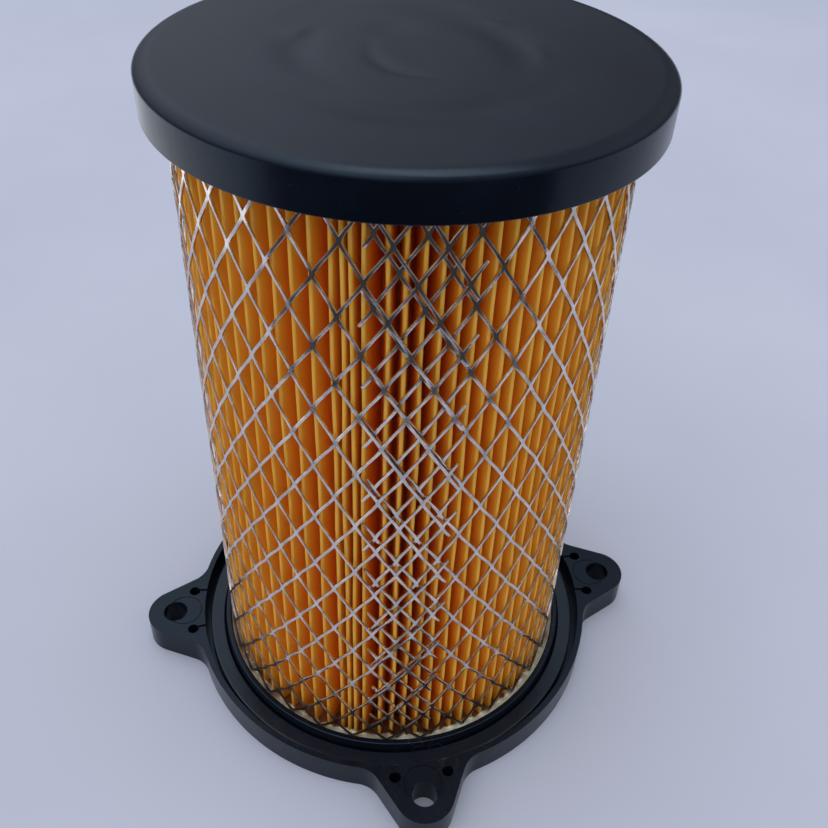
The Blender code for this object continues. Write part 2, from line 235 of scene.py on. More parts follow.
def new_object(name, verts, faces):
    mesh = bpy.data.meshes.new(name)
    mesh.from_pydata([(x * MM, y * MM, z * MM) for x, y, z in verts], [], faces)
    mesh.validate()
    item = bpy.data.objects.new(name, mesh)
    bpy.context.scene.collection.objects.link(item)
    return item


def outward(item):
    shell = bmesh.new()
    shell.from_mesh(item.data)
    bmesh.ops.recalc_face_normals(shell, faces=shell.faces)
    shell.to_mesh(item.data)
    shell.free()


def cleaned(item):
    """Merge points that coincide and drop what collapses, so that no stray faces are left."""
    shell = bmesh.new()
    shell.from_mesh(item.data)
    bmesh.ops.remove_doubles(shell, verts=shell.verts[:], dist=MERGE_DISTANCE * MM)
    bmesh.ops.dissolve_degenerate(shell, edges=shell.edges[:], dist=MERGE_DISTANCE * MM)
    wires = [edge for edge in shell.edges if edge.is_wire]
    bmesh.ops.delete(shell, geom=wires, context="EDGES")
    loose = [vert for vert in shell.verts if not vert.link_faces]
    bmesh.ops.delete(shell, geom=loose, context="VERTS")
    shell.to_mesh(item.data)
    shell.free()
    outward(item)
    return item


def smooth(item, angle=35.0):
    item.data.shade_smooth()
    item.data.set_sharp_from_angle(angle=math.radians(angle))


def ring_faces(rings, count):
    """Faces between rings of as many points each, closed round the rings and across them."""
    faces = []
    for k in range(rings):
        this = k * count
        following = (k + 1) % rings * count
        for j in range(count):
            up = (j + 1) % count
            faces.append((this + j, this + up, following + up, following + j))
    return faces


def turned(name, profile, steps=RING_STEPS, shape=None):
    """Turn a (radius, height) profile; shape(radius, angle, height) may move each point."""
    verts = []
    for k in range(steps):
        angle = 2 * math.pi * k / steps
        for radius, height in profile:
            r, z = shape(radius, angle, height) if shape else (radius, height)
            verts.append((*polar(r, angle), z))
    item = new_object(name, verts, ring_faces(steps, len(profile)))
    outward(item)
    return item


def baked(item):
    """Replace an object's mesh by its evaluated one, with no modifiers left."""
    bpy.context.view_layer.update()
    evaluated = item.evaluated_get(bpy.context.evaluated_depsgraph_get())
    mesh = bpy.data.meshes.new_from_object(evaluated)
    item.modifiers.clear()
    old = item.data
    item.data = mesh
    bpy.data.meshes.remove(old)
    return item


def cut(item, cutter):
    boolean = item.modifiers.new("cut", "BOOLEAN")
    boolean.operation = "DIFFERENCE"
    boolean.object = cutter
    baked(item)
    bpy.data.objects.remove(cutter, do_unlink=True)


def rounded(item, width, segments=2, angle=35.0):
    bevel = item.modifiers.new("round", "BEVEL")
    bevel.width = width * MM
    bevel.segments = segments
    bevel.limit_method = "ANGLE"
    bevel.angle_limit = math.radians(angle)
    bevel.use_clamp_overlap = True
    baked(item)


def prism(name, outline, low, high):
    """A flat-ended solid from one outline of (x, y) points."""
    count = len(outline)
    verts = [(x, y, low) for x, y in outline] + [(x, y, high) for x, y in outline]
    faces = [tuple(reversed(range(count))), tuple(range(count, 2 * count))]
    faces += [(k, (k + 1) % count, count + (k + 1) % count, count + k) for k in range(count)]
    return new_object(name, verts, faces)


def joined(name, items):
    """One object from several separate solids."""
    shell = bmesh.new()
    for item in items:
        shell.from_mesh(item.data)
        bpy.data.objects.remove(item, do_unlink=True)
    mesh = bpy.data.meshes.new(name)
    shell.to_mesh(mesh)
    shell.free()
    whole = bpy.data.objects.new(name, mesh)
    bpy.context.scene.collection.objects.link(whole)
    return whole


def place(item, node, material, angle=35.0):
    """Finish a piece: it rides on the part and stands for its CAD node."""
    item.data.materials.clear()
    item.data.materials.append(material)
    smooth(item, angle)
    flat = item.modifiers.new("flat_faces", "WEIGHTED_NORMAL")
    flat.keep_sharp = True
    baked(item)
    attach(item, "root")
    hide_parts(node)
    return item


# ---------------------------------------------------------------- base flange


def lug_fillet_angle():
    flank_normal = math.pi / 2 - LUG_FLARE
    flank_distance = LUG_HOLE_CIRCLE * math.cos(flank_normal) + LUG_TIP_RADIUS
    reach = (flank_distance + LUG_FILLET) / (RING_RADIUS + LUG_FILLET)
    return flank_normal - math.acos(reach)


def lug_outline():
    flank_normal = math.pi / 2 - LUG_FLARE
    fillet_angle = lug_fillet_angle()
    center = polar(RING_RADIUS + LUG_FILLET, fillet_angle)
    upper = arc(center, LUG_FILLET, math.pi + flank_normal, math.pi + fillet_angle,
                LUG_FILLET_STEPS)
    tip = arc((LUG_HOLE_CIRCLE, 0.0), LUG_TIP_RADIUS, -flank_normal, flank_normal, LUG_TIP_STEPS)
    lower = [(x, -y) for x, y in reversed(upper)]
    return lower + tip + upper


def flange_outline():
    points = []
    quarter = 2 * math.pi / LUG_COUNT
    clear = lug_fillet_angle()
    for k in range(LUG_COUNT):
        points += rotated(lug_outline(), k * quarter)
        start = k * quarter + clear
        end = (k + 1) * quarter - clear
        points += arc((0.0, 0.0), RING_RADIUS, start, end, RING_ARC_STEPS)[1:-1]
    return points


def hollow_profile():
    """The space inside the ring: channel, potting trough and outlet, rounded at the lips."""
    above = RING_HEIGHT + CUTTER_OVERRUN
    collar = OUTLET_RADIUS + COLLAR_WALL
    lip_z = CUP_HEIGHT - LIP_ROUND
    outer_lip = arc((CUP_LIP_RADIUS - LIP_ROUND, lip_z), LIP_ROUND, 0.0, math.pi / 2, 4)
    inner_lip = arc((CUP_INNER_RADIUS + LIP_ROUND, lip_z), LIP_ROUND, math.pi / 2, math.pi, 4)
    return [
        (0.0, above),
        (RING_RADIUS - RING_WALL, above),
        (RING_RADIUS - RING_WALL, FLOOR_THICKNESS),
        (CUP_FOOT_RADIUS, FLOOR_THICKNESS),
        *outer_lip,
        *inner_lip,
        (CUP_INNER_RADIUS, FLOOR_THICKNESS),
        (collar, FLOOR_THICKNESS),
        (collar, COLLAR_HEIGHT),
        (OUTLET_RADIUS, COLLAR_HEIGHT),
        (OUTLET_RADIUS, -CUTTER_OVERRUN),
        (0.0, -CUTTER_OVERRUN),
    ]


def circle(center, radius, steps):
    return arc(center, radius, 0.0, 2 * math.pi, steps)[:-1]


def lug_angles():
    return [k * 2 * math.pi / LUG_COUNT for k in range(LUG_COUNT)]


def pilot_angles():
    return [a + side * PILOT_ANGLE for a in lug_angles() for side in (-1, 1)]


def slot_prism(angle):
    """A round-ended slot from the pilot hole to the channel."""
    inner = RING_RADIUS - RING_WALL - CUTTER_OVERRUN
    half = SLOT_WIDTH / 2
    high = RING_HEIGHT + CUTTER_OVERRUN
    outline = [(inner, -half)]
    outline += arc((PILOT_CIRCLE, 0.0), half, -math.pi / 2, math.pi / 2, 8)
    outline += [(inner, half)]
    return prism("slot", rotated(outline, angle), RING_HEIGHT - SLOT_DEPTH, high)


def witness_groove(angle):
    """The hairline ring that the mould's insert leaves round each lug hole."""
    center_x, center_y = polar(WITNESS_CIRCLE, angle)
    section = circle((WITNESS_RADIUS, RING_HEIGHT + WITNESS_LIFT), WITNESS_GROOVE, 6)
    around = 64
    verts = []
    for k in range(around):
        for radius, height in section:
            x, y = polar(radius, 2 * math.pi * k / around)
            verts.append((center_x + x, center_y + y, height))
    item = new_object("witness", verts, ring_faces(around, len(section)))
    outward(item)
    return item


def make_base_flange(material):
    flange = prism("base_flange_looks", flange_outline(), 0.0, RING_HEIGHT)
    cut(flange, cleaned(turned("hollow", hollow_profile())))
    high = RING_HEIGHT + CUTTER_OVERRUN
    screws = []
    for angle in lug_angles():
        outline = circle(polar(LUG_HOLE_CIRCLE, angle), LUG_HOLE_RADIUS, LUG_HOLE_STEPS)
        screws.append(prism("screw", outline, -CUTTER_OVERRUN, high))
    cut(flange, joined("screws", screws))
    pilots = []
    for angle in pilot_angles():
        outline = circle(polar(PILOT_CIRCLE, angle), PILOT_RADIUS, PILOT_STEPS)
        pilots.append(prism("pilot", outline, RING_HEIGHT - PILOT_DEPTH, high))
    cut(flange, joined("pilots", pilots))
    cut(flange, joined("slots", [slot_prism(a) for a in pilot_angles()]))
    rounded(flange, EDGE_ROUND)
    cleaned(flange)
    cut(flange, joined("witness_rings", [witness_groove(a) for a in lug_angles()]))
    cleaned(flange)
    return place(flange, "base_flange", material)


def make_flange_seal(material):
    """The lip seal: slightly uneven, with a nearly level crown and a rounded lip."""
    inner = SEAL_HIGH.x - SEAL_WIDTH
    outer = SEAL_HIGH.x
    foot = SEAL_LOW.z
    top = SEAL_HIGH.z - SEAL_CROWN_DROP
    heel = top - SEAL_CROWN_RISE
    corner = (inner + SEAL_INNER_ROUND, heel - SEAL_INNER_ROUND)
    rounding = arc(corner, SEAL_INNER_ROUND, math.pi, math.pi / 2, 6)
    start = inner + SEAL_INNER_ROUND
    reach = outer - SEAL_LIP_ROUND - start
    crown = []
    for k in range(1, SEAL_CROWN_STEPS + 1):
        share = k / SEAL_CROWN_STEPS
        crown.append((start + reach * share, heel + SEAL_CROWN_RISE * share))
    edge = [(outer - inset, top - drop) for inset, drop in SEAL_LIP_EDGE]
    profile = rounding + crown + edge + [
        (outer, top - SEAL_LIP_THICKNESS),
        (inner + SEAL_WEB, foot + SEAL_LIP_THICKNESS),
        (outer, foot + SEAL_LIP_THICKNESS),
        (outer, foot),
        (inner, foot),
    ]

    def uneven(radius, angle, height):
        x, y = polar(SEAL_WAVES, angle)
        wave = smooth_noise(x, y, radius * 0.1, 3.0)
        share = (height - foot) / (top - foot)
        inward = SEAL_SWAY * share * (wave + 0.5)
        return radius - inward, height + SEAL_RIPPLE * share * (wave - 0.5)

    seal = turned("flange_seal_looks", profile, shape=uneven)
    return place(seal, "flange_seal", material)


# ---------------------------------------------------------------- cap

# Sink marks in the cap's top face: radius, azimuth, length, width, depth, twist
SINK_MARKS = (
    (28.4, 271.4, 17.0, 4.2, 0.62, 0.0),
    (9.0, 234.8, 8.5, 2.0, 0.46, -20.0),
    (21.0, 174.0, 11.0, 3.8, 0.60, 0.0),
    (21.0, 16.7, 13.0, 4.4, 0.72, 0.0),
    (12.6, 99.8, 5.0, 4.0, 0.32, 0.0),
    (24.8, 38.0, 3.5, 1.2, -0.26, 15.0),
    (24.5, 357.0, 6.0, 1.6, -0.18, 0.0),
    (23.0, 150.0, 4.0, 1.8, -0.24, 0.0),
    (30.0, 120.0, 12.0, 5.0, 0.40, 10.0),
    (27.0, 70.0, 12.0, 4.0, 0.36, -8.0),
)


def sink_depth(x, y):
    """Each mark is a soft hollow, or a swelling, bent round the cap's centre."""
    depth = 0.0
    for radius, azimuth, length, width, deep, twist in SINK_MARKS:
        cx, cy = polar(radius, math.radians(azimuth))
        turn = math.radians(azimuth + twist)
        across = (x - cx) * math.cos(turn) + (y - cy) * math.sin(turn)
        along = -(x - cx) * math.sin(turn) + (y - cy) * math.cos(turn)
        bend = along * along / (2 * max(radius, SINK_LEAST_BEND))
        depth += deep * math.exp(-((across + bend) / width) ** 2 - (along / length) ** 2)
    return depth


def cap_top_height(x, y):
    """The top is dished a little, with sink marks and ripples that fade out at its edge."""
    fade = max(0.0, 1.0 - (math.hypot(x, y) / (CAP_RADIUS - CAP_EDGE_REACH)) ** 6)
    ripple = 0.10 * smooth_noise(x / 14.0, y / 14.0, 0.0, 5.0)
    ripple += 0.03 * smooth_noise(x / 4.0, y / 4.0, 0.0, 9.0)
    return CAP_TOP - fade * (sink_depth(x, y) + CAP_DISH + ripple)


def make_top_cap(material):
    """The cap: a fine polar grid over its top, then the rolled edge, skirt and inside."""
    flat = CAP_RADIUS - CAP_EDGE_REACH
    rings = [flat * k / CAP_TOP_RINGS for k in range(1, CAP_TOP_RINGS + 1)]
    quarter = arc((0.0, 0.0), 1.0, math.pi / 2, 0.0, CAP_EDGE_STEPS)[1:]
    edge_foot = CAP_TOP - CAP_EDGE_DROP
    rim = [(flat + CAP_EDGE_REACH * x, edge_foot + CAP_EDGE_DROP * z) for x, z in quarter]
    inner = CAP_RADIUS - CAP_WALL
    lower = [
        (CAP_RADIUS, CAP_LOW.z + CAP_FOOT_ROUND),
        (CAP_RADIUS - CAP_FOOT_STEP, CAP_LOW.z + CAP_FOOT_STEP),
        (CAP_RADIUS - CAP_FOOT_ROUND, CAP_LOW.z),
        (inner + CAP_FOOT_CHAMFER, CAP_LOW.z),
        (inner, CAP_LOW.z + CAP_FOOT_CHAMFER),
        (inner, CAP_TOP - CAP_PLATE),
    ]
    profile = [(r, None) for r in rings] + rim + lower
    verts = [(0.0, 0.0, cap_top_height(0.0, 0.0))]
    for k in range(RING_STEPS):
        angle = 2 * math.pi * k / RING_STEPS
        for radius, height in profile:
            x, y = polar(radius, angle)
            verts.append((x, y, cap_top_height(x, y) if height is None else height))
    count = len(profile)
    verts.append((0.0, 0.0, CAP_TOP - CAP_PLATE))
    last = len(verts) - 1
    faces = []
    for k in range(RING_STEPS):
        this = 1 + k * count
        following = 1 + (k + 1) % RING_STEPS * count
        faces.append((0, this, following))
        faces.append((last, following + count - 1, this + count - 1))
        for j in range(count - 1):
            faces.append((this + j, this + j + 1, following + j + 1, following + j))
    cap = new_object("top_cap_looks", verts, faces)
    outward(cap)
    return place(cap, "top_cap", material, 60.0)


# ---------------------------------------------------------------- paper


def pleat_tip_angles():
    """Azimuths of the pleat tips in degrees: a tight seam, then narrow to wide pleats."""
    start = SEAM_TIPS[-1]
    span = 360.0 - (start - SEAM_TIPS[0])
    offsets = []
    position = 0.0
    while position < span:
        offsets.append(position)
        opening = (position - NARROW_SPAN) / (span - NARROW_SPAN - WIDE_SPAN)
        position += NARROW_PITCH + (WIDE_PITCH - NARROW_PITCH) * min(max(opening, 0.0), 1.0)
    stretch = span / position
    return list(SEAM_TIPS) + [start + offset * stretch for offset in offsets[1:]]


def fold_points(angle, radius, outward_fold, half_gap):
    """A rounded fold: points across a small arc, in order of rising azimuth."""
    points = []
    fold = min(FOLD_RADIUS, half_gap)
    for k in range(FOLD_STEPS + 1):
        across = math.pi * (k / FOLD_STEPS - 0.5)
        shift = fold * math.sin(across) / radius
        drop = fold * (1.0 - math.cos(across))
        points.append((angle + shift, radius - drop if outward_fold else radius + drop))
    return points


def paper_path():
    """The paper's middle line round the element, as (azimuth, radius, pleat) points."""
    tips = [math.radians(a) for a in pleat_tip_angles()]
    following = tips[1:] + [tips[0] + 2 * math.pi]
    path = []
    for index, (tip, next_tip) in enumerate(zip(tips, following)):
        root = (tip + next_tip) / 2
        room = (next_tip - tip) / 4
        tip_radius = PLEAT_TIP_RADIUS - PAPER_THICKNESS / 2
        root_radius = PLEAT_ROOT_RADIUS + PAPER_THICKNESS / 2
        for angle, radius in fold_points(tip, tip_radius, True, room * tip_radius * FOLD_ROOM):
            path.append((angle, radius, index))
        for angle, radius in fold_points(root, root_radius, False, room * root_radius * FOLD_ROOM):
            path.append((angle, radius, index + 0.5))
    return path


def paper_point(azimuth, radius, pleat, height):
    """Pleats lean and bow a little, each in its own way, and are held at both ends."""
    middle = math.sin(math.pi * (height - PAPER_LOW.z) / (PAPER_HIGH.z - PAPER_LOW.z))
    turn = smooth_noise(pleat * 1.7, height / 38.0, 0.0, 11.0) * PLEAT_TURN * (0.25 + middle)
    reach = smooth_noise(pleat * 2.3, height / 30.0, 4.0, 17.0) * PLEAT_REACH * middle
    share = (radius - PLEAT_ROOT_RADIUS) / (PLEAT_TIP_RADIUS - PLEAT_ROOT_RADIUS)
    x, y = polar(radius + min(reach, 0.0) * share, azimuth + turn * share)
    return (x, y, height)


def make_paper(material):
    """The folded sheet, set into the potting at both ends."""
    path = paper_path()
    low = POTTING_LOW.z + PAPER_DEPTH_IN_POTTING
    high = PAPER_HIGH.z + PAPER_DEPTH_IN_CAP
    verts = []
    for k in range(PAPER_LEVELS + 1):
        height = low + (high - low) * k / PAPER_LEVELS
        verts += [paper_point(a, r, pleat, height) for a, r, pleat in path]
    count = len(path)
    faces = []
    for k in range(PAPER_LEVELS):
        for j in range(count):
            following = (j + 1) % count
            this = k * count
            above = this + count
            faces.append((this + j, this + following, above + following, above + j))
    paper = new_object("pleated_paper", verts, faces)
    outward(paper)
    solid = paper.modifiers.new("thickness", "SOLIDIFY")
    solid.thickness = PAPER_THICKNESS * MM
    solid.offset = 0.0
    baked(paper)
    return place(paper, "pleated_element", material, 80.0)


# ---------------------------------------------------------------- potting


def paper_tree():
    """A search tree of points along the paper's middle line."""
    path = paper_path()
    split = 4
    tree = kdtree.KDTree(len(path) * split)
    index = 0
    for k, (azimuth, radius, _) in enumerate(path):
        next_azimuth, next_radius, _ = path[(k + 1) % len(path)]
        if next_azimuth < azimuth - math.pi:
            next_azimuth += 2 * math.pi
        for j in range(split):
            share = j / split
            a = azimuth + (next_azimuth - azimuth) * share
            tree.insert((*polar(radius + (next_radius - radius) * share, a), 0.0), index)
            index += 1
    tree.balance()
    return tree


def creep(rule, distance):
    height, fade = rule
    return height * math.exp(-distance / fade)


def make_bottom_potting(material):
    """The poured compound: a pool that creeps up the paper, the wall and the collar."""
    inner = OUTLET_RADIUS + COLLAR_WALL + POTTING_GAP
    outer = CUP_INNER_RADIUS - POTTING_GAP
    tree = paper_tree()
    foot = POTTING_LOW.z - POTTING_SINK
    around = 1080
    across = 44
    verts = []
    for k in range(around):
        angle = 2 * math.pi * k / around
        for j in range(across + 1):
            radius = inner + (outer - inner) * j / across
            x, y = polar(radius, angle)
            near = tree.find((x, y, 0.0))[2]
            climb = creep(PAPER_CREEP, max(near - PAPER_THICKNESS / 2, 0.0))
            climb += creep(WALL_CREEP, outer - radius)
            climb += creep(COLLAR_CREEP, radius - inner)
            swell = POOL_SWELL * smooth_noise(x / 5.0, y / 5.0, 0.0, 21.0)
            swell += POOL_RIPPLE * smooth_noise(x, y, 0.0, 22.0)
            pool = POTTING_HIGH.z - POUR_DROP - POUR_TILT * y / outer
            verts.append((x, y, pool + climb + swell))
        verts.append((*polar(outer, angle), foot))
        verts.append((*polar(inner, angle), foot))
    potting = new_object("bottom_potting_looks", verts, ring_faces(around, across + 3))
    outward(potting)
    return place(potting, "bottom_potting", material, 60.0)


# ---------------------------------------------------------------- expanded metal


def blend(first, last, column):
    """A value that changes from the sheet's first column to its last, mostly in between."""
    share = (1.0 - math.cos(math.pi * column / COLUMNS)) / 2
    return first + (last - first) * share


def row_height(column, row):
    """Rows are even above, squeezed together at the foot, and run downhill along the sheet."""
    ends = zip(FIRST_COLUMN_ROWS, LAST_COLUMN_ROWS)
    foot, rise, squeeze = (blend(first, last, column) for first, last in ends)
    return foot + rise * row + squeeze * math.exp(-row / FOOT_SQUEEZE_ROWS)


class ExpandedSheet:
    """The rolled sheet of expanded metal: upright bonds joined by curved, tilted strands.

    Columns count half meshes along the sheet and rows count half meshes up it. Every edge
    has four layers: outer face, outer arris, inner arris and inner face.
    """

    # Each strand starts between two corners of its bond and ends between two of the next
    SIDES = {"ne": ("n", "eu"), "nw": ("wu", "n"), "sw": ("s", "wl"), "se": ("el", "s")}
    FAR_SIDES = {"ne": ("wl", "s"), "nw": ("s", "el"), "sw": ("eu", "n"), "se": ("n", "wu")}
    STEPS = {"ne": (1, 1), "nw": (-1, 1), "sw": (-1, -1), "se": (1, -1)}
    # Which edge of a strand stands proud: the upper one
    PROUD = {"ne": 1, "nw": -1, "sw": -1, "se": 1}
    CORNERS = {
        "n": (0.0, BOND_HALF_LENGTH),
        "wu": (-BOND_HALF_WIDTH, BOND_SHOULDER),
        "wl": (-BOND_HALF_WIDTH, -BOND_SHOULDER),
        "s": (0.0, -BOND_HALF_LENGTH),
        "el": (BOND_HALF_WIDTH, -BOND_SHOULDER),
        "eu": (BOND_HALF_WIDTH, BOND_SHOULDER),
    }
    LAYERS = (
        (EDGE_CHAMFER, 0.0),
        (0.0, EDGE_CHAMFER),
        (0.0, SHEET_DEPTH - EDGE_CHAMFER),
        (EDGE_CHAMFER, SHEET_DEPTH),
    )
    SEGMENTS = 6
    PROBE = 0.02
    SEED = 4

    def __init__(self):
        self.verts = []
        self.faces = []
        self.joints = {}
        self.centers = {}
        self.random = random.Random(self.SEED)
        self.width = math.radians(HALF_COLUMN) * SCREEN_RADIUS

    def rolled(self, x, height, depth):
        """A point of the flat sheet, rolled round the element on a shallow spiral."""
        column = x / self.width
        drop = LAYER_DROP * (1.0 - column / COLUMNS)
        swell = COLUMN_SWELL * math.sin(2 * math.pi * column / COLUMNS)
        lean = blend(FIRST_COLUMN_LEAN, LAST_COLUMN_LEAN, column)
        rise = height - LEAN_HEIGHT
        azimuth = SEAM_AZIMUTH + column * HALF_COLUMN - swell + lean * rise + LEAN_BOW * rise**2
        angle = math.radians(azimuth)
        self.verts.append((*polar(SCREEN_RADIUS - drop - depth, angle), height))
        return len(self.verts) - 1

    def center(self, column, row):
        """Middle of a bond in the flat sheet, a little off its ideal place."""
        if (column, row) not in self.centers:
            x = column * self.width + self.random.uniform(-BOND_SHIFT, BOND_SHIFT)
            height = row_height(column, row) + self.random.uniform(-BOND_RISE, BOND_RISE)
            self.centers[column, row] = (x, height, self.random.uniform(0.0, BOND_LIFT))
        return self.centers[column, row]

    def add_joint(self, column, row):
        x, height, lift = self.center(column, row)
        joint = {}
        for name, (right, up) in self.CORNERS.items():
            joint[name] = []
            for inset, depth in self.LAYERS:
                shrink = 1.0 - inset / BOND_HALF_WIDTH
                at = (x + right * shrink, height + up * shrink, depth + lift)
                joint[name].append(self.rolled(*at))
        self.joints[column, row] = joint
        order = list(self.CORNERS)
        self.faces.append(tuple(joint[name][0] for name in order))
        self.faces.append(tuple(joint[name][3] for name in reversed(order)))
        self.faces.append(tuple(joint["wu"] + joint["wl"][::-1]))
        self.faces.append(tuple(joint["el"] + joint["eu"][::-1]))

    def path(self, start, end, share):
        """Centre of a strand at a share of its length: steep at both bonds, flat between."""
        ease = share * share * (3.0 - 2.0 * share)
        across = share + STRAND_SWAY * (ease - share)
        return (
            start[0] + (end[0] - start[0]) * across,
            start[1] + (end[1] - start[1]) * share,
            start[2] + (end[2] - start[2]) * share,
        )

    def section(self, start, end, share, proud):
        """The eight points round a strand, square to its path."""
        before = self.path(start, end, share - self.PROBE)
        after = self.path(start, end, share + self.PROBE)
        x, height, lift = self.path(start, end, share)
        run = (after[0] - before[0], after[1] - before[1])
        length = math.hypot(*run)
        normal = (-run[1] / length, run[0] / length)
        swell = STRAND_HALF_WIDTH * (1.0 + STRAND_FLARE * (2.0 * share - 1.0) ** 2)
        tilt = STRAND_TILT * math.sin(math.pi * min(max(share, 0.0), 1.0)) * proud
        first = []
        second = []
        for inset, depth in self.LAYERS:
            half = swell - inset
            at = (x + normal[0] * half, height + normal[1] * half, depth + lift - tilt)
            first.append(self.rolled(*at))
            at = (x - normal[0] * half, height - normal[1] * half, depth + lift + tilt)
            second.append(self.rolled(*at))
        return first + second[::-1]

    def anchor(self, column, row, sides):
        """Middle of the two bond corners that a strand grows from."""
        x, height, lift = self.center(column, row)
        (x0, y0), (x1, y1) = (self.CORNERS[side] for side in sides)
        return (x + (x0 + x1) / 2, height + (y0 + y1) / 2, lift)

    def loop(self, joint, sides):
        return joint[sides[0]] + joint[sides[1]][::-1]

    def bridge(self, near, far):
        count = len(near)
        for k in range(count):
            following = (k + 1) % count
            self.faces.append((near[k], near[following], far[following], far[k]))

    def add_strand(self, column, row, direction, length=1.0):
        """A strand to the next bond, or a cut stub that ends part of the way."""
        step_column, step_row = self.STEPS[direction]
        other = (column + step_column, row + step_row)
        start = self.anchor(column, row, self.SIDES[direction])
        end = self.anchor(*other, self.FAR_SIDES[direction])
        near = self.loop(self.joints[column, row], self.SIDES[direction])
        for k in range(1, self.SEGMENTS):
            share = k / self.SEGMENTS
            if share >= length:
                break
            far = self.section(start, end, share, self.PROUD[direction])
            self.bridge(near, far)
            near = far
        if length < 1.0:
            far = self.section(start, end, length, self.PROUD[direction])
            self.bridge(near, far)
            self.faces.append(tuple(far))
            return
        self.bridge(near, self.loop(self.joints[other], self.FAR_SIDES[direction]))

    def close_side(self, column, row, direction):
        self.faces.append(tuple(self.loop(self.joints[column, row], self.SIDES[direction])))

    def connect(self, column, row):
        for direction, (step_column, step_row) in self.STEPS.items():
            other = (column + step_column, row + step_row)
            if other in self.joints:
                if step_row > 0:
                    self.add_strand(column, row, direction)
            elif 0 <= other[1] <= ROWS:
                self.add_strand(column, row, direction, self.random.uniform(*STUB_LENGTHS))
            else:
                self.close_side(column, row, direction)

    def make(self):
        for row in range(ROWS + 1):
            for column in range(row % 2, COLUMNS + 1, 2):
                self.add_joint(column, row)
        for column, row in list(self.joints):
            self.connect(column, row)
        return new_object("expanded_metal_sleeve", self.verts, self.faces)


def trimmed(item, low, high):
    """Cut a closed mesh at two heights and close the cut ends again."""
    tolerance = 1e-7
    shell = bmesh.new()
    shell.from_mesh(item.data)
    for height, side in ((low, -1.0), (high, 1.0)):
        bmesh.ops.bisect_plane(
            shell,
            geom=shell.verts[:] + shell.edges[:] + shell.faces[:],
            dist=tolerance,
            plane_co=(0.0, 0.0, height * MM),
            plane_no=(0.0, 0.0, side),
            clear_outer=True,
        )
        bmesh.ops.holes_fill(shell, edges=[edge for edge in shell.edges if edge.is_boundary])
    shell.to_mesh(item.data)
    shell.free()


def make_outer_screen(material):
    """The sleeve, cut level at both ends, where the potting and the cap hide it."""
    screen = ExpandedSheet().make()
    outward(screen)
    trimmed(screen, SCREEN_TRIM, CAP_TOP - CAP_PLATE - SCREEN_TOP_GAP)
    outward(screen)
    return place(screen, "outer_screen", material, 40.0)


# ---------------------------------------------------------------- materials

DUST_COLOR = (0.35, 0.36, 0.38)
SCUFF_COLOR = (0.13, 0.12, 0.11)
PLASTIC_TINT = (0.56, 0.80, 1.0, 1.0)
RUBBER_TINT = (0.66, 0.84, 1.0, 1.0)
FLECK_COLOR = (0.95, 0.60, 0.11)
SOAKED_COLOR = (0.46, 0.135, 0.016)
# Painted dark reflection: the steel's foot is darkened in place of the dark cup and base that it
# mirrors
FOOT_DARK_REFLECTION_COLOR = (0.050, 0.042, 0.038)
PORE_COLOR = (0.58, 0.50, 0.32)
# Partly resin brown, partly painted shade between the pleats and low in the pool
RESIN_AND_SHADE_COLOR = (0.15, 0.040, 0.007)
# Heights in metres between which each scuff, soaking, painted dark reflection and resin brown with
# painted shade fades out
SCUFF_FADE = (0.0075, 0.0090)
SOAKED_FADE = (0.0060, 0.0125)
FOOT_DARK_REFLECTION_FADE = (0.010, 0.019)
RESIN_AND_SHADE_FADE = (0.0055, 0.0060)


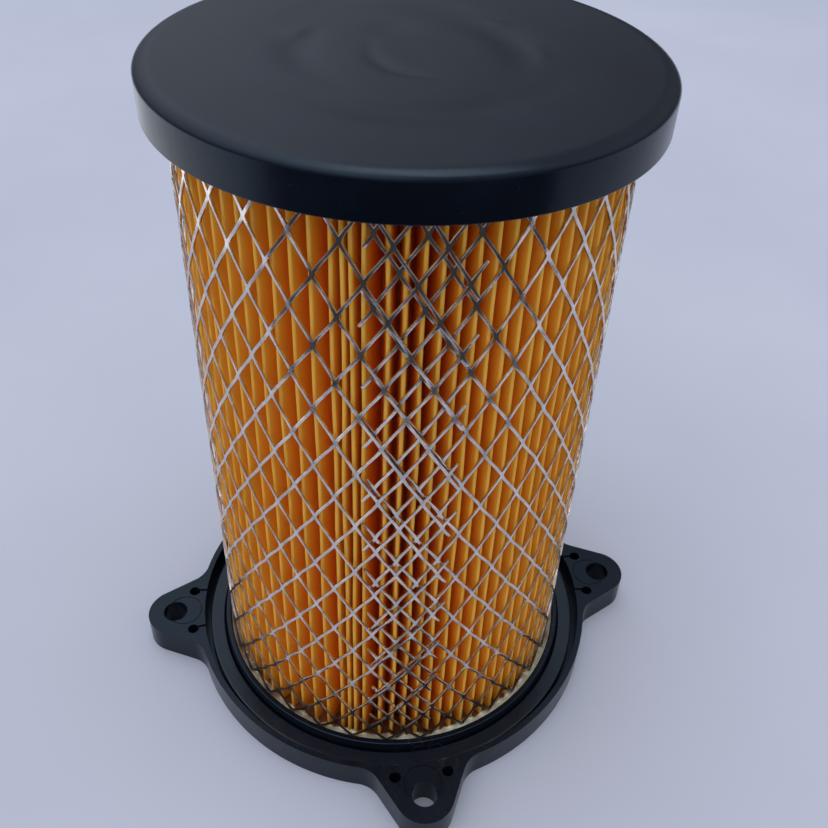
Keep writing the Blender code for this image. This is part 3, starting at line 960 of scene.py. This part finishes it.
class Nodes:
    """A small builder for a material's or world's node tree.

    It works in metres: a noise scale is per metre, and heights and bump distances are metres.
    """

    def __init__(self, owner):
        owner.use_nodes = True
        self.tree = owner.node_tree
        self.tree.nodes.clear()

    def add(self, kind, settings=None, **inputs):
        node = self.tree.nodes.new(kind)
        for key, value in (settings or {}).items():
            setattr(node, key, value)
        for key, value in inputs.items():
            socket = node.inputs[key.replace("_", " ")]
            self.feed(socket, value)
        return node

    def feed(self, socket, value):
        """Link a socket, or set its value; a colour may leave its alpha out."""
        if isinstance(value, bpy.types.NodeSocket):
            self.tree.links.new(value, socket)
        elif socket.type == "RGBA":
            socket.default_value = (*value[:3], 1.0)
        else:
            socket.default_value = value

    def coordinates(self, scale=(1.0, 1.0, 1.0)):
        source = self.add("ShaderNodeTexCoord").outputs["Object"]
        return self.add("ShaderNodeMapping", Vector=source, Scale=scale).outputs["Vector"]

    def height(self):
        return self.add("ShaderNodeSeparateXYZ", Vector=self.coordinates()).outputs["Z"]

    def radius(self):
        """Distance from the element's axis."""
        axes = self.add("ShaderNodeSeparateXYZ", Vector=self.coordinates()).outputs
        squares = [self.math("POWER", axes[axis], 2.0) for axis in "XY"]
        return self.math("SQRT", self.math("ADD", *squares))

    def warped(self, distance, scale):
        """Coordinates pushed about by a soft noise, so that lines drawn on them wander."""
        source = self.coordinates()
        wander = self.add("ShaderNodeTexNoise", Vector=source, Scale=scale).outputs["Color"]
        push = self.add("ShaderNodeVectorMath", {"operation": "SCALE"}, Scale=distance)
        self.feed(push.inputs[0], wander)
        moved = self.add("ShaderNodeVectorMath", {"operation": "ADD"})
        self.feed(moved.inputs[0], source)
        self.feed(moved.inputs[1], push.outputs["Vector"])
        return moved.outputs["Vector"]

    def noise(self, scale, detail=4.0, stretch=(1.0, 1.0, 1.0), roughness=0.55):
        return self.add(
            "ShaderNodeTexNoise",
            Vector=self.coordinates(stretch),
            Scale=scale,
            Detail=detail,
            Roughness=roughness,
        ).outputs["Fac"]

    def ramp(self, value, stops):
        node = self.add("ShaderNodeValToRGB", Fac=value)
        elements = node.color_ramp.elements
        while len(elements) < len(stops):
            elements.new(0.5)
        for element, (position, color) in zip(elements, stops):
            element.position = position
            element.color = (*color, 1.0)
        return node.outputs["Color"]

    def span(self, value, low, high, out_low, out_high):
        node = self.add("ShaderNodeMapRange", {"clamp": True}, Value=value)
        node.inputs["From Min"].default_value = low
        node.inputs["From Max"].default_value = high
        node.inputs["To Min"].default_value = out_low
        node.inputs["To Max"].default_value = out_high
        return node.outputs["Result"]

    def mix(self, factor, first, second, mode="MIX"):
        """Mix two colours; the node's colour sockets are inputs 6 and 7 and output 2."""
        node = self.add("ShaderNodeMix", {"data_type": "RGBA", "blend_type": mode})
        self.feed(node.inputs["Factor"], factor)
        self.feed(node.inputs[6], first)
        self.feed(node.inputs[7], second)
        return node.outputs[2]

    def math(self, operation, first, second=0.0):
        node = self.add("ShaderNodeMath", {"operation": operation})
        self.feed(node.inputs[0], first)
        self.feed(node.inputs[1], second)
        return node.outputs[0]

    def along(self, direction, azimuth):
        """How far a direction points to a level azimuth: 0 away from it, 1 towards it."""
        node = self.add("ShaderNodeVectorMath", {"operation": "DOT_PRODUCT"})
        self.feed(node.inputs[0], direction)
        node.inputs[1].default_value = (math.cos(azimuth), math.sin(azimuth), 0.0)
        return self.span(node.outputs["Value"], -1.0, 1.0, 0.0, 1.0)

    def bump(self, height, strength, distance, normal=None):
        node = self.add("ShaderNodeBump", Height=height, Strength=strength, Distance=distance)
        if normal:
            self.feed(node.inputs["Normal"], normal)
        return node.outputs["Normal"]

    def finish(self, **inputs):
        shader = self.add("ShaderNodeBsdfPrincipled", **inputs)
        output = self.add("ShaderNodeOutputMaterial")
        self.tree.links.new(shader.outputs[0], output.inputs[0])
        return shader


def new_material(name):
    material = bpy.data.materials.new(name)
    return material, Nodes(material)


def black_plastic():
    """Satin moulded plastic: fine grain, cloudy sheen and a few pale dust specks."""
    material, n = new_material("satin_black_plastic")
    cloud = n.noise(45.0, 5.0)
    grain = n.noise(2600.0, 2.0)
    dust = n.span(n.noise(900.0, 3.0, roughness=0.7), 0.70, 0.80, 0.0, 1.0)
    base = n.ramp(cloud, [(0.3, (0.0024, 0.0035, 0.0075)), (0.7, (0.0050, 0.0068, 0.0130))])
    dusty = n.mix(n.math("MULTIPLY", dust, 0.08), base, DUST_COLOR)
    # Handling scuffs, only on the base and only in patches
    cells = n.add("ShaderNodeTexVoronoi", {"feature": "DISTANCE_TO_EDGE"}, Scale=260.0,
                  Vector=n.warped(0.004, 90.0))
    lines = n.span(cells.outputs["Distance"], 0.0, 0.030, 1.0, 0.0)
    patches = n.span(n.noise(70.0, 3.0), 0.54, 0.66, 0.0, 0.20)
    on_base = n.span(n.height(), *SCUFF_FADE, 1.0, 0.0)
    scuffs = n.math("MULTIPLY", n.math("MULTIPLY", lines, patches), on_base)
    color = n.mix(scuffs, dusty, SCUFF_COLOR)
    rough = n.math("ADD", n.span(cloud, 0.3, 0.7, 0.18, 0.29), n.math("MULTIPLY", dust, 0.2))
    normal = n.bump(grain, 0.10, 0.00008, n.bump(n.noise(320.0, 3.0), 0.10, 0.0003))
    shader = n.finish(Base_Color=color, Roughness=rough, Normal=normal)
    shader.inputs["Specular IOR Level"].default_value = 0.27
    shader.inputs["Specular Tint"].default_value = PLASTIC_TINT
    return material


def black_rubber():
    """Rubber: rougher than the plastic, with a faint bloom."""
    material, n = new_material("matt_black_rubber")
    bloom = n.noise(120.0, 6.0, roughness=0.65)
    base = n.ramp(bloom, [(0.3, (0.0040, 0.0055, 0.0110)), (0.75, (0.0085, 0.0110, 0.0190))])
    rough = n.span(bloom, 0.3, 0.7, 0.24, 0.34)
    normal = n.bump(n.noise(1800.0, 3.0), 0.22, 0.0001)
    shader = n.finish(Base_Color=base, Roughness=rough, Normal=normal)
    shader.inputs["Specular IOR Level"].default_value = 0.38
    shader.inputs["Specular Tint"].default_value = RUBBER_TINT
    return material


def filter_paper():
    """Amber resin-treated paper: fibre flecks, darker and soaked near the potting, and a painted
    shade that turns it redder and darker deep between the pleats.
    """
    material, n = new_material("amber_filter_paper")
    fibre = n.noise(1500.0, 5.0, (1.0, 1.0, 0.22), 0.7)
    cloud = n.noise(55.0, 4.0, (1.0, 1.0, 0.35))
    # Painted shade: the colour turns redder and darker with depth between the pleats, where the
    # folds are shaded
    outer = PLEAT_TIP_RADIUS * MM
    depth = n.span(n.radius(), outer - 0.0115, outer, 1.0, 0.0)
    amber_and_fold_shade = n.ramp(n.math("ADD", depth, n.span(cloud, 0.3, 0.7, -0.03, 0.03)), [
        (0.0, (0.97, 0.51, 0.062)),
        (0.10, (0.98, 0.41, 0.022)),
        (0.35, (0.99, 0.29, 0.008)),
        (1.0, (0.99, 0.19, 0.006)),
    ])
    flecked = n.mix(n.span(fibre, 0.35, 0.75, 0.0, 0.16), amber_and_fold_shade, FLECK_COLOR)
    ragged = n.math("ADD", n.height(), n.span(n.noise(300.0, 4.0), 0.3, 0.7, -0.0022, 0.0022))
    color = n.mix(n.span(ragged, *SOAKED_FADE, 0.55, 0.0), flecked, SOAKED_COLOR)
    rough = n.span(fibre, 0.3, 0.7, 0.55, 0.75)
    crinkle = n.bump(n.noise(240.0, 3.0, (1.0, 1.0, 0.3)), 0.25, 0.0004)
    normal = n.bump(fibre, 0.35, 0.00012, crinkle)
    shader = n.finish(Base_Color=color, Roughness=rough, Normal=normal)
    shader.inputs["Specular IOR Level"].default_value = 0.3
    return material


def screen_steel():
    """Galvanised expanded steel: bright with dull zinc patches, and a painted dark reflection
    towards its foot.
    """
    material, n = new_material("galvanised_expanded_steel")
    patch = n.noise(260.0, 5.0, roughness=0.65)
    base = n.ramp(patch, [(0.30, (0.52, 0.47, 0.43)), (0.62, (0.87, 0.80, 0.74))])
    # Painted reflection: the strands turn nearly black towards the foot in place of the dark cup
    # and base they mirror, with a little more roughness there
    ragged = n.math("ADD", n.height(), n.span(n.noise(150.0, 4.0), 0.3, 0.7, -0.003, 0.003))
    painted_dark_reflection = n.span(ragged, *FOOT_DARK_REFLECTION_FADE, 0.90, 0.0)
    color = n.mix(painted_dark_reflection, base, FOOT_DARK_REFLECTION_COLOR)
    rough = n.math("ADD", n.span(patch, 0.3, 0.7, 0.26, 0.13), n.math("MULTIPLY", painted_dark_reflection, 0.15))
    normal = n.bump(n.noise(2400.0, 3.0), 0.25, 0.0001)
    n.finish(Base_Color=color, Metallic=1.0, Roughness=rough, Normal=normal)
    return material


def cream_potting():
    """Cream compound: a soft gloss, small bubbles, and a brown that is partly resin bleeding
    between the pleats and partly painted shade there and where the pool lies low.
    """
    material, n = new_material("cream_potting_compound")
    stain = n.noise(180.0, 5.0)
    base = n.ramp(stain, [(0.30, (0.72, 0.77, 0.54)), (0.50, (0.84, 0.91, 0.72))])
    pores = n.span(n.noise(1100.0, 2.0), 0.32, 0.40, 0.0, 1.0)
    pitted = n.mix(pores, PORE_COLOR, base)
    # Brown between the pleats and where the pool lies low: partly a resin stain, partly painted
    # shade from the lip and the pleats
    ragged = n.math("ADD", n.radius(), n.span(n.noise(330.0, 4.0), 0.3, 0.7, -0.0007, 0.0007))
    edge = PLEAT_TIP_RADIUS * MM
    bled_resin_and_shade = n.span(ragged, edge - 0.0005, edge + 0.0001, 1.0, 0.0)
    low = n.span(n.height(), *RESIN_AND_SHADE_FADE, 0.9, 0.0)
    color = n.mix(n.math("MAXIMUM", bled_resin_and_shade, low), pitted, RESIN_AND_SHADE_COLOR)
    normal = n.bump(n.noise(700.0, 4.0), 0.25, 0.0002)
    n.finish(Base_Color=color, Roughness=n.span(stain, 0.3, 0.7, 0.35, 0.55), Normal=normal)
    return material


def floor_material():
    """A plain pale sheet with a faint cool tint."""
    material, n = new_material("pale_floor")
    tone = n.noise(6.0, 3.0)
    base = n.ramp(tone, [(0.3, (0.415, 0.435, 0.515)), (0.7, (0.455, 0.475, 0.555))])
    # No gloss, so the cards below never show in it
    n.finish(Base_Color=base, Roughness=0.5, Specular_IOR_Level=0.0)
    return material


# ---------------------------------------------------------------- stage, light, camera


def add_floor():
    size = FLOOR_HALF_SIZE
    corners = [(-size, -size, 0.0), (size, -size, 0.0), (size, size, 0.0), (-size, size, 0.0)]
    floor = new_object("floor", corners, [(0, 1, 2, 3)])
    floor.location.z = -FLOOR_GAP * MM
    floor.data.materials.append(floor_material())


def add_world():
    """Soft room light: bright overhead and dim near the horizon."""
    world = bpy.data.worlds.new("studio")
    bpy.context.scene.world = world
    n = Nodes(world)
    direction = n.add("ShaderNodeTexCoord").outputs["Generated"]
    height = n.add("ShaderNodeSeparateXYZ", Vector=direction).outputs["Z"]
    sky = n.ramp(height, [
        (0.0, (0.14, 0.155, 0.19)),
        (0.22, (0.28, 0.31, 0.36)),
        (0.50, (0.62, 0.65, 0.74)),
        (0.80, (0.95, 0.98, 1.06)),
        (0.93, (1.05, 1.08, 1.14)),
        (0.98, (1.75, 1.82, 1.92)),
    ])
    away = n.along(direction, CAMERA_AZIMUTH + math.pi)
    right = n.along(direction, CAMERA_AZIMUTH + math.pi / 2)
    # Brightest to the left and right, dimmer behind the object and on the viewer's side
    side = n.ramp(away, [
        (0.0, (1.35, 1.35, 1.35)),
        (0.25, (1.55, 1.55, 1.55)),
        (0.50, (1.9, 1.9, 1.9)),
        (0.80, (1.25, 1.25, 1.25)),
        (1.0, (0.95, 0.95, 0.95)),
    ])
    # A pale wall a little left of the middle, a dark one a little right of it
    walls = n.ramp(right, [
        (0.0, (1.0, 1.0, 1.0)),
        (0.20, (1.2, 1.2, 1.2)),
        (0.36, (1.65, 1.65, 1.65)),
        (0.50, (1.05, 1.05, 1.05)),
        (0.64, (0.48, 0.48, 0.48)),
        (0.80, (0.66, 0.66, 0.66)),
        (1.0, (0.95, 0.95, 0.95)),
    ])
    glow = n.mix(1.0, n.mix(1.0, sky, side, "MULTIPLY"), walls, "MULTIPLY")
    background = n.add("ShaderNodeBackground", Color=glow, Strength=WORLD_STRENGTH)
    output = n.add("ShaderNodeOutputWorld")
    n.tree.links.new(background.outputs[0], output.inputs[0])


def floor_card(name, first, last, inner, outer, color):
    """A card lying round the object that only reflections can see; angles from the viewer."""
    start = CAMERA_AZIMUTH + math.radians(first)
    end = CAMERA_AZIMUTH + math.radians(last)
    outline = arc((0.0, 0.0), inner, start, end, CARD_STEPS)
    outline += arc((0.0, 0.0), outer, end, start, CARD_STEPS)
    corners = [(x, y, CARD_HEIGHT) for x, y in outline]
    card = new_object(name, corners, [tuple(range(len(corners)))])
    material, n = new_material(name)
    tone = n.noise(8.0, 2.0)
    shades = [(0.3, tuple(0.94 * c for c in color)), (0.7, color)]
    n.finish(Base_Color=n.ramp(tone, shades), Roughness=0.9)
    card.data.materials.append(material)
    card.visible_camera = False
    card.visible_diffuse = False
    card.visible_shadow = False
    card.visible_transmission = False


def add_cards():
    """A black flag on the viewer's side and a white card on the left."""
    floor_card("reflection_flag", first=-54.0, last=60.0, inner=160.0, outer=800.0,
               color=(0.004, 0.004, 0.005))
    floor_card("white_card", first=-150.0, last=-62.0, inner=260.0, outer=800.0,
               color=(0.93, 0.94, 0.98))


def add_light(name, azimuth, elevation, distance, size, power, color):
    """An area light that faces the object; its azimuth is measured from the viewer."""
    lamp = bpy.data.lights.new(name, "AREA")
    lamp.shape = "RECTANGLE"
    lamp.size = size[0]
    lamp.size_y = size[1]
    lamp.energy = power
    lamp.color = color
    item = bpy.data.objects.new(name, lamp)
    bpy.context.scene.collection.objects.link(item)
    flat = math.cos(math.radians(elevation)) * distance
    x, y = polar(flat, CAMERA_AZIMUTH + math.radians(azimuth))
    item.location = LIGHT_TARGET + Vector((x, y, math.sin(math.radians(elevation)) * distance))
    item.rotation_euler = (LIGHT_TARGET - item.location).to_track_quat("-Z", "Y").to_euler()


def add_lights():
    add_light("overhead_window", azimuth=120.0, elevation=80.0, distance=1.3, size=(1.1, 0.6),
              power=3.6, color=(0.96, 0.98, 1.0))


def add_camera():
    """The photograph's viewing angle, built as seen from -Y and then turned about Z."""
    forward = Vector((
        math.sin(CAMERA_YAW) * math.cos(CAMERA_PITCH),
        math.cos(CAMERA_YAW) * math.cos(CAMERA_PITCH),
        -math.sin(CAMERA_PITCH),
    ))
    right = Vector((math.cos(CAMERA_YAW), -math.sin(CAMERA_YAW), 0.0))
    up = right.cross(forward)
    rolled_right = right * math.cos(CAMERA_ROLL) + up * math.sin(CAMERA_ROLL)
    rolled_up = up * math.cos(CAMERA_ROLL) - right * math.sin(CAMERA_ROLL)
    axes = Matrix((rolled_right, rolled_up, -forward)).transposed()
    turn = Matrix.Rotation(CAMERA_AZIMUTH - math.radians(270.0), 4, "Z")
    stand = Matrix.Translation(Vector((0.0, -CAMERA_DISTANCE, CAMERA_HEIGHT)) * MM)
    data = bpy.data.cameras.new("camera")
    data.lens = CAMERA_LENS
    data.sensor_width = SENSOR_WIDTH
    data.shift_x, data.shift_y = CAMERA_SHIFT
    data.clip_start = 0.01
    camera = bpy.data.objects.new("camera", data)
    bpy.context.scene.collection.objects.link(camera)
    camera.matrix_world = turn @ stand @ axes.to_4x4()
    bpy.context.scene.camera = camera


# ---------------------------------------------------------------- build


def dress_cad_node(name, material):
    """A CAD node whose shape is right keeps its mesh and gets a finished material."""
    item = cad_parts[name]
    item.data.materials.clear()
    item.data.materials.append(material)


plastic = black_plastic()
steel = screen_steel()
potting = cream_potting()
make_base_flange(plastic)
make_flange_seal(black_rubber())
make_bottom_potting(potting)
make_paper(filter_paper())
make_outer_screen(steel)
make_top_cap(plastic)
dress_cad_node("inner_screen", steel)
dress_cad_node("top_potting", potting)
add_floor()
add_cards()
add_world()
add_lights()
add_camera()

bpy.context.scene.view_settings.view_transform = "Standard"
